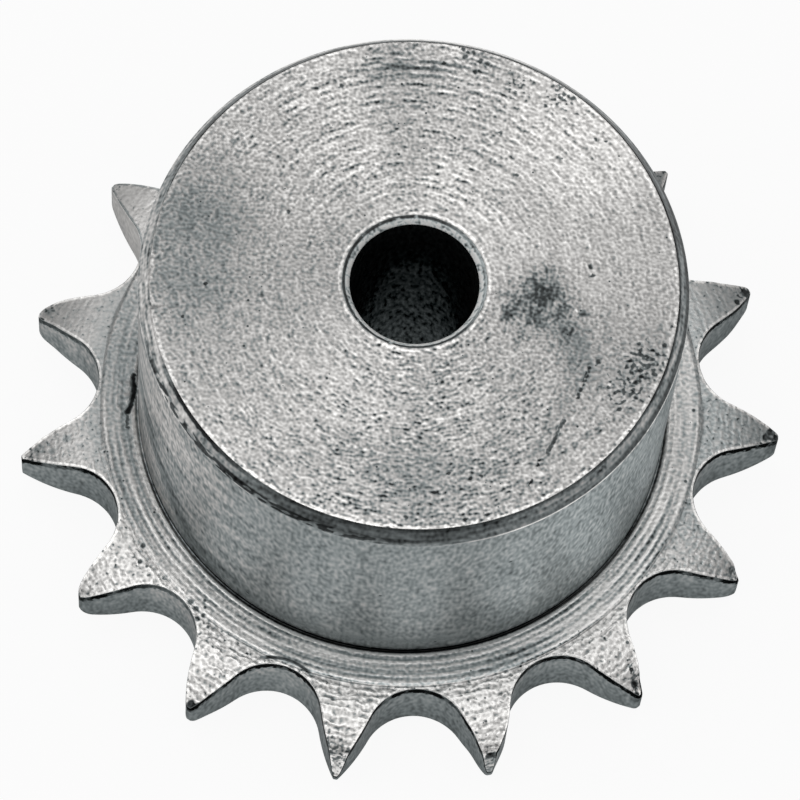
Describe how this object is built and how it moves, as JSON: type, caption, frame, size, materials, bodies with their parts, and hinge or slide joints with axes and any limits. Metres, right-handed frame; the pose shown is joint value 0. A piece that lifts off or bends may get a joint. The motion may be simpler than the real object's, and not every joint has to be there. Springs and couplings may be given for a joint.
{
  "type": "chain sprocket",
  "caption": "Turned steel chain sprocket: a thin toothed plate with relieved tooth sides, a plain round hub on one side and a small plain bore through both.",
  "frame": {"origin": "on the bore axis, in the plate's flat lower face", "axes": "+Z along the bore axis, from the toothed plate towards the end of the hub; one tooth is centred on +X"},
  "size_m": [0.0491, 0.0494, 0.025],
  "materials": {
    "steel": "bare carbon steel as turned and hobbed: fine concentric tool marks, small pits and scuffs, light oil film, no plating or paint"
  },
  "bodies": {
    "root": {"sprocket": "steel"}
  },
  "joints": []
}
